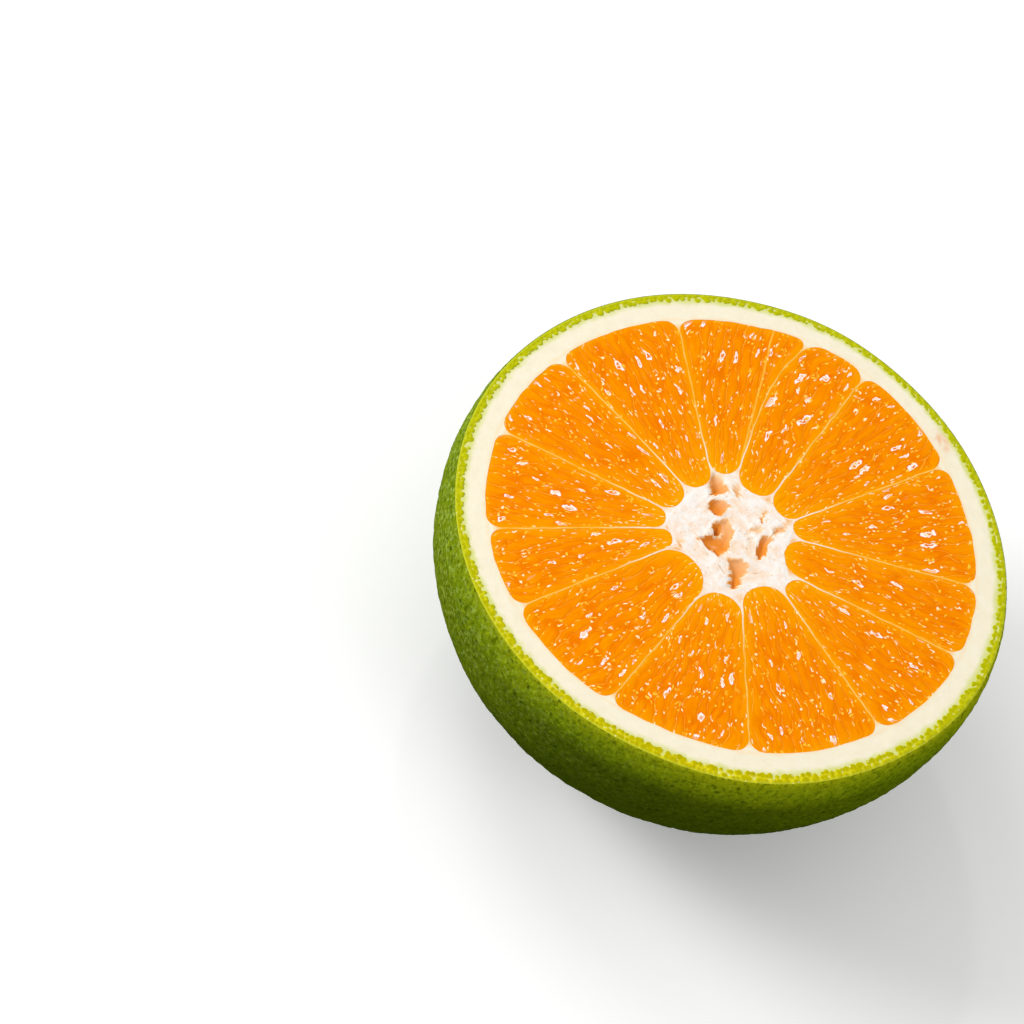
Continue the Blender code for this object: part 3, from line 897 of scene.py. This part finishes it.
def pith_points(column, row, depth):
    """Places of the pith's points by column, row and depth, before the core is torn.

    Also the width of the strip of pith between two segments at each point, and the point's
    share of the way across it.
    """
    points = np.zeros((len(column), 3))
    width = np.ones(len(column))
    across_strip = np.zeros(len(column))
    along = np.clip((row - CORE_ROWS) / WEB_ROWS, 0, 1) * 2 - 1
    column = column % PITH_COLUMNS
    for number in range(SEGMENTS):
        local = (column - number * BLOCK + HALF_MEMBRANE_COLUMNS) % PITH_COLUMNS - 2 * HALF_MEMBRANE_COLUMNS
        inside = (local > 0) & (local < ARC_COLUMNS)
        across = local[inside] / ARC_COLUMNS * 2 - 1
        pocket_depth = depth[inside] * (row[inside] < PITH_ROWS)
        points[inside] = segment_points(number, across, along[inside], pocket_depth)
        strip = (local >= -2 * HALF_MEMBRANE_COLUMNS) & (local <= 0)
        ones = np.ones(strip.sum())
        strip_depth = depth[strip] * (row[strip] < PITH_ROWS)
        near = segment_points((number - 1) % SEGMENTS, ones, along[strip], strip_depth)
        far = segment_points(number, -ones, along[strip], strip_depth)
        share = 1 + local[strip] / (2 * HALF_MEMBRANE_COLUMNS)
        points[strip] = near + (far - near) * share[:, None]
        middle = (near + far)[:, :2]
        sideways = np.stack([-middle[:, 1], middle[:, 0]], axis=1)
        sideways /= np.linalg.norm(sideways, axis=1)[:, None]
        width[strip] = np.abs(np.sum((far - near)[:, :2] * sideways, axis=1))
        across_strip[strip] = share
    angle, reach = polar(points)
    angle = np.radians(angle)
    reach = np.where((row > CORE_ROWS + WEB_ROWS - 0.5) & (depth == 0), PULP_RADIUS, reach)
    inward = np.clip(row / CORE_ROWS, 0, 1)
    outward = np.clip((row - CORE_ROWS - WEB_ROWS) / RING_ROWS, 0, 1)
    reach = reach * inward + (PITH_RADIUS - PULP_RADIUS) * outward
    lining = (row == PITH_ROWS) & (depth > 0)
    inset = rind_thickness(depth) + PITH_CLEARANCE
    reach = np.where(lining, dome_radius(depth, inset), reach)
    return points_at(reach, angle, CUT_HEIGHT - depth), width, across_strip


def inside_outline(places, outline):
    """How far inside a closed outline each place is, and less than 0 outside it."""
    nearest = np.full(len(places), FAR)
    inside = np.zeros(len(places), dtype=bool)
    for start, end in zip(outline, np.roll(outline, -1, axis=0)):
        side = end - start
        share = np.clip((places - start) @ side / (side @ side), 0, 1)
        away = np.linalg.norm(places - start - share[:, None] * side, axis=1)
        nearest = np.minimum(nearest, away)
        spans = (places[:, 1] < start[1]) != (places[:, 1] < end[1])
        crossing = start[0] + (places[:, 1] - start[1]) * side[0] / (side[1] + TINY * MM)
        inside ^= spans & (places[:, 0] < crossing)
    return np.where(inside, nearest, -nearest)


def tear_core(points):
    """How far the torn core stands up or sinks at each point, and its juice stain with painted shade."""
    tear = layered_noise(points, TEAR_SIZE, 41, 3)
    teeth = layered_noise(points, TOOTH_SIZE, 51, 2)
    places = points[:, :2]
    steep_way = np.array([math.cos(STEEP_SIDE), math.sin(STEEP_SIDE)])
    sink = np.zeros(len(points))
    juice = np.zeros(len(points))
    fringe = np.zeros(len(points))
    for hollow in HOLLOWS:
        outline = np.array(hollow.outline) * MM
        within = inside_outline(places, outline) + (0.12 + 0.20 * tear) * MM
        inside = within + 0.60 * MM * teeth
        ends = outline @ steep_way
        steepness = np.clip((places @ steep_way - ends.min()) / (ends.max() - ends.min()), 0, 1)
        run_out = HOLLOW_RUN_OUT * (1 - steepness)
        opened = fade(within + 0.20 * MM * teeth, 0.0, HOLLOW_WALL + run_out)
        sunk = fade(opened, 0.02, 0.14)
        stained = np.maximum(sunk, fade(inside, -0.04 * MM, 0.06 * MM + 0.6 * run_out))
        sink = np.maximum(sink, 0.5 * hollow.depth * opened * (0.4 + 0.6 * steepness))
        # Juice stain, with painted shade: more in the deeper hollows and towards each one's steep side
        juice = np.maximum(juice, hollow.juice * stained * (0.55 + 0.45 * steepness))
        ridge = steepness * np.exp(-((inside / MM + 0.15) / 0.16) ** 2)
        fringe = np.maximum(fringe, ridge * (1 - sunk))
    flecks = fade(-teeth, 0.55, 0.80)
    ragged = TEAR_HEIGHT * tear + TOOTH_HEIGHT * teeth
    lift = ragged + FRINGE_HEIGHT * fringe - FLECK_DEPTH * flecks - sink
    # Juice stain in the flecks, and painted shade in the low places of the tear
    juice = np.maximum(juice, np.maximum(0.35 * flecks, 0.20 * fade(-ragged, 0.01 * MM, 0.08 * MM)))
    return lift, juice * (1 - 0.8 * fringe)


def make_pith():
    """White pith in one body: the ring and the lining, the membranes and the torn core."""
    mesh = pith_grid()
    flat = read_points(mesh)
    column = np.round((flat[:, 0] + 1) / 2 * PITH_COLUMNS)
    row = np.round((flat[:, 1] + 1) / 2 * PITH_ROWS)
    depth = -flat[:, 2]
    points, width, across_strip = pith_points(column, row, depth)

    top = depth == 0
    angle, reach = polar(points)
    ring = top * fade(reach, PULP_RADIUS - 0.4 * MM, PULP_RADIUS + 0.2 * MM)
    core = top * (1 - fade(reach, CORE_START, CORE_END))
    strip_middle = 1 - (2 * across_strip - 1) ** 2
    in_web = (row > CORE_ROWS - 0.5) & (row < CORE_ROWS + WEB_ROWS - 0.5)
    room = fade(width, WIDEST_MEMBRANE, 1.8 * MM) * strip_middle * (reach < 16 * MM)
    torn = top * (1 - fade(row / CORE_ROWS, 0.85, 1.0) * (1 - room))
    lift, juice = tear_core(points)
    points[:, 2] += torn * np.where(in_web, np.minimum(lift, 0.0), lift)
    points[:, 2] += ring * RING_GRAIN * layered_noise(points, 1.4 * MM, 61, 3)
    points[:, 2] -= top * RING_EDGE_DROP * fade(reach, PITH_RADIUS - RING_EDGE_WIDTH, PITH_RADIUS)
    points[:, 2] += top * (1 - ring) * (1 - torn) * MEMBRANE_GRAIN * soft_noise(points, 0.8 * MM, 71)

    ragged_reach = reach + 0.35 * MM * layered_noise(points, 0.8 * MM, 81, 3)
    glands_end = SKIN_RADIUS - BAND_WIDTH - total_swell(angle, WIDER_BAND)
    green_tinge = ring * fade(ragged_reach, glands_end - 0.9 * MM, glands_end) * 0.75
    stain = total_swell(angle, STAIN) * np.exp(-((reach - STAIN_REACH) / STAIN_BREADTH) ** 2)
    stain *= fade(layered_noise(points, 0.6 * MM, 95, 2), -0.5, 0.3)
    membrane = in_web * top * (1 - fade(width, WIDEST_MEMBRANE, 1.7 * MM))
    membrane *= 0.25 + 0.75 * fade(reach, CORE_START, 19 * MM)
    membrane *= 1 - 0.8 * fade(reach, PULP_RADIUS - 2.2 * MM, PULP_RADIUS - 0.4 * MM)
    beside_pulp = ring * (1 - fade(ragged_reach, PULP_RADIUS, PULP_RADIUS + 0.5 * MM)) * 0.35
    flare = fade(width, 0.7 * MM, 1.2 * MM) * (1 - fade(width, 2.0 * MM, 3.5 * MM)) * strip_middle ** 2
    flare *= in_web * top * (reach < 20 * MM) * fade(soft_noise(points, 5 * MM, 97), -0.3, 0.3)
    unround(points)
    write_points(mesh, points)
    write_values(mesh, core=core, juice=np.maximum(torn * juice, 0.4 * flare), membrane=membrane,
                 green_tinge=green_tinge, beside_pulp=beside_pulp, stain=top * stain)
    finish_piece(mesh, pith_material(), ["pith"], 50)


# The pulp

POINT_SPACING = 0.142 * MM
PULP_ROWS = 184
PULP_CLEARANCE = 0.01 * MM
CUT_DROP = 0.02 * MM
PULP_GRAIN = 0.02 * MM

# Juice sacs, laid in rows. Each may turn from its row, in radians, and bend by a share of its length.
Sac = namedtuple("Sac", "end way length width height bend")
SAC_ROW_STEP = 3.0 * MM
SAC_STEP = 1.9 * MM
SAC_LENGTHS = (5.5 * MM, 9.5 * MM)
SAC_WIDTHS = (1.9 * MM, 2.9 * MM)
SAC_HEIGHT = 0.045 * MM
SAC_BULB = 0.24
SAC_TURN = 0.12
SAC_BEND = 0.12
GROOVE_DEPTH = 0.02 * MM

# A second thin membrane, folded into the pulp of one segment: where it meets the peel and how
# far it swings towards the core, in degrees
FOLDED_SEGMENT = 4
FOLD_OUTER_ANGLE = 104.4
FOLD_SWING = 8.5


def sac_width(share):
    """Half width of a teardrop sac, against its widest, at a share of its length from the end."""
    bulb = np.sqrt(np.clip(1 - ((share - SAC_BULB) / SAC_BULB) ** 2, 0, 1))
    tail = np.clip((1 - share) / (1 - SAC_BULB), 0, 1) ** 0.75
    return np.where(share < SAC_BULB, bulb, tail)


def scatter_sacs(number, random):
    """The juice sacs of one segment, in rows that are staggered and fan out from the core."""
    sacs = []
    rows = round((PULP_RADIUS - TIP_RADII[number]) / SAC_ROW_STEP)
    for row in range(rows + 1):
        along = np.array([1.0 - 2.0 * row / rows])
        left, right = (segment_points(number, np.array([side]), along, 0.0)[0, :2] for side in (-1.0, 1.0))
        width = np.linalg.norm(right - left)
        count = max(2, round(width / SAC_STEP))
        for column in range(count + 1):
            across = -1 + 2 * (column + 0.5 * (row % 2) + random.uniform(-0.3, 0.3)) / count
            across = np.array([np.clip(across, -1.05, 1.05)])
            along_here = np.clip(along + random.uniform(-0.6, 0.6) / rows, -1, 1)
            here = segment_points(number, across, along_here, 0.0)[0, :2]
            inner = segment_points(number, across, np.maximum(along_here - 0.1, -1), 0.0)[0, :2]
            turn = math.atan2(*(here - inner + TINY)[::-1]) + random.uniform(-SAC_TURN, SAC_TURN)
            way = np.array([math.cos(turn), math.sin(turn)])
            past_peel = random.uniform(0.2, 1.0) * MM if row == 0 else 0.0
            narrow = min(1.0, width / (9 * MM) + 0.25)
            sacs.append(Sac(
                end=here + way * past_peel,
                way=way,
                length=random.uniform(*SAC_LENGTHS),
                width=random.uniform(*SAC_WIDTHS) * narrow,
                height=random.uniform(0.75, 1.15) * SAC_HEIGHT,
                bend=random.uniform(-SAC_BEND, SAC_BEND),
            ))
    return sacs


def in_sac(sac, x, y):
    """Share of a sac's length from its round end, and distance to the side, at places."""
    dx, dy = x - sac.end[0], y - sac.end[1]
    share = -(dx * sac.way[0] + dy * sac.way[1]) / sac.length
    side = -dx * sac.way[1] + dy * sac.way[0]
    return share, side - sac.bend * sac.length * share * share


def sac_relief(sacs, x, y):
    """Height of the cut sacs at places."""
    highest = np.full(len(x), -GROOVE_DEPTH)
    for sac in sacs:
        share, side = in_sac(sac, x, y)
        inside = (share > 0) & (share < 1) & (np.abs(side) < sac.width / 2)
        half = sac.width / 2 * sac_width(share[inside]) + TINY
        dome = np.sqrt(np.clip(1 - (side[inside] / half) ** 2, 0, 1))
        height = sac.height * dome * (1 - 0.7 * share[inside])
        highest[inside] = np.maximum(highest[inside], height)
    return highest


def make_segment(number, material):
    """One segment of pulp, standing in its pocket, with its juice sacs cut open on top."""
    random = np.random.default_rng(100 + number)
    corners = segment_points(number, np.array([-1.0, 1.0]), np.array([0.7, 0.7]), 0.0)
    columns = round(np.linalg.norm(corners[1] - corners[0]) / POINT_SPACING)
    bm = flat_grid(columns, PULP_ROWS)
    floor = sink_walls(bm, [edge for edge in bm.edges if edge.is_boundary], LEVEL_DEPTHS)
    bmesh.ops.contextual_create(bm, geom=floor)
    mesh = to_mesh(f"pulp_{number + 1:02d}", bm)
    flat = read_points(mesh)
    across, along, depth = flat[:, 0], flat[:, 1], -flat[:, 2]
    points = segment_points(number, across, along, depth)

    middle = segment_points(number, 0 * across, along, depth)
    half = np.linalg.norm(segment_points(number, 0 * across + 1, along, depth) - middle, axis=1)
    points[:, :2] = middle[:, :2] + (points - middle)[:, :2] * (1 - PULP_CLEARANCE / half)[:, None]
    angle, reach = polar(points)
    x, y = points[:, 0], points[:, 1]
    top = depth == 0
    height = sac_relief(scatter_sacs(number, random), x, y)
    to_side = (1 - np.abs(across)) * half
    to_tip = reach - TIP_RADII[number]
    to_edge = np.minimum(np.minimum(to_side, PULP_RADIUS - reach), to_tip)
    lift = height - 0.5 * SAC_HEIGHT + PULP_GRAIN * soft_noise(points, 0.5 * MM, 18)
    points[:, 2] += top * (lift * fade(to_edge, 0.0, 0.4 * MM) - CUT_DROP)
    unround(points)
    write_points(mesh, points)
    gold = 0.7 * np.exp(-to_edge / (0.9 * MM)) + 0.8 * np.exp(-to_tip / (3.0 * MM))
    widest = half[(along > 0.5) & top].max()
    across_sacs = across * np.sqrt(half * widest) / MM + 30 * number
    fold_angle = FOLD_OUTER_ANGLE + FOLD_SWING * ((PULP_RADIUS - reach) / PULP_RADIUS) ** 2
    from_fold = reach / MM * (np.radians(angle - fold_angle) if number == FOLDED_SEGMENT else 1.0)
    write_values(mesh, gold=np.clip(gold, 0, 1), across_sacs=across_sacs, along_sacs=reach / MM,
                 from_fold=from_fold)
    finish_piece(mesh, material, [f"pulp_segment_{number + 1:02d}"], 60)


# Floor, light and camera

RIM_CENTRE = Vector((0.0, 0.0, CUT_HEIGHT))
VIEW_ELEVATION = math.radians(53.4)
VIEW_ROLL = math.radians(28.9)
VIEW_DISTANCE = 1.0
PIXELS = 1024
PIXELS_PER_METRE = 7680.0
RIM_CENTRE_PIXEL = (732.9, 534.6)
SENSOR_WIDTH = 36.0
FLOOR_RADIUS = 3.0
FLOOR_GAP = 0.05 * MM


def make_floor():
    """A wide pale floor, just under the fruit."""
    bm = bmesh.new()
    bmesh.ops.create_circle(bm, cap_ends=True, segments=96, radius=FLOOR_RADIUS)
    mesh = to_mesh("floor", bm)
    mesh.materials.append(Finish("pale_floor", rgb(0.96, 0.96, 0.96)).finish(
        Roughness=0.9, Specular_IOR_Level=0.0,
        Emission_Color=rgb(1.0, 1.0, 1.0), Emission_Strength=0.12))
    floor = add_object("floor", mesh)
    floor.location.z = -FLOOR_GAP


def make_light(name, place, size, power):
    """A soft square light that faces the fruit."""
    light = bpy.data.lights.new(name, "AREA")
    light.size = size
    light.energy = power
    lamp = add_object(name, light)
    lamp.location = place
    lamp.rotation_euler = (RIM_CENTRE - Vector(place)).to_track_quat("-Z", "Y").to_euler()


def make_camera():
    """Looks at the cut face as the photo does, 37 degrees off its normal and turned by 29."""
    back = Vector((0, -math.cos(VIEW_ELEVATION), math.sin(VIEW_ELEVATION)))
    face_up = Vector((0, math.sin(VIEW_ELEVATION), math.cos(VIEW_ELEVATION)))
    face_right = Vector((1, 0, 0))
    right = face_right * math.cos(VIEW_ROLL) + face_up * math.sin(VIEW_ROLL)
    up = face_up * math.cos(VIEW_ROLL) - face_right * math.sin(VIEW_ROLL)
    eye = RIM_CENTRE + back * VIEW_DISTANCE
    aside = (RIM_CENTRE_PIXEL[0] - PIXELS / 2) / PIXELS_PER_METRE
    below = (RIM_CENTRE_PIXEL[1] - PIXELS / 2) / PIXELS_PER_METRE
    back = (eye - (RIM_CENTRE - right * aside + up * below)).normalized()
    right = up.cross(back).normalized()
    up = back.cross(right)
    camera = bpy.data.cameras.new("camera")
    camera.sensor_width = SENSOR_WIDTH
    camera.lens = SENSOR_WIDTH * VIEW_DISTANCE * PIXELS_PER_METRE / PIXELS
    camera.clip_start, camera.clip_end = 0.05, 20.0
    viewer = add_object("camera", camera)
    viewer.matrix_world = Matrix((right, up, back)).transposed().to_4x4()
    viewer.location = eye
    bpy.context.scene.camera = viewer


def make_studio():
    """A pale room, soft lights from the left, above, behind and the right, and one for glints."""
    world = bpy.data.worlds.new("studio")
    bpy.context.scene.world = world
    world.use_nodes = True
    sky = world.node_tree.nodes["Background"]
    sky.inputs["Color"].default_value = rgb(1.0, 1.0, 1.0)
    sky.inputs["Strength"].default_value = 0.50
    make_light("left", (-0.80, -0.12, 0.42), 0.36, 6.0)
    make_light("above", (0.05, -0.15, 1.10), 1.00, 0.5)
    make_light("key", (-0.50, 0.25, 0.70), 0.30, 1.0)
    make_light("right_fill", (0.80, -0.30, 0.60), 0.50, 1.6)
    make_light("sparkle", (-0.32, 0.50, 0.70), 0.05, 0.4)
    view = bpy.context.scene.view_settings
    view.view_transform = "Standard"
    view.look = "None"
    view.exposure = 0.0
    view.gamma = 1.0


make_camera()
make_studio()
make_floor()
make_rind()
make_glands()
make_pith()
pulp = pulp_material()
for segment_number in range(SEGMENTS):
    make_segment(segment_number, pulp)
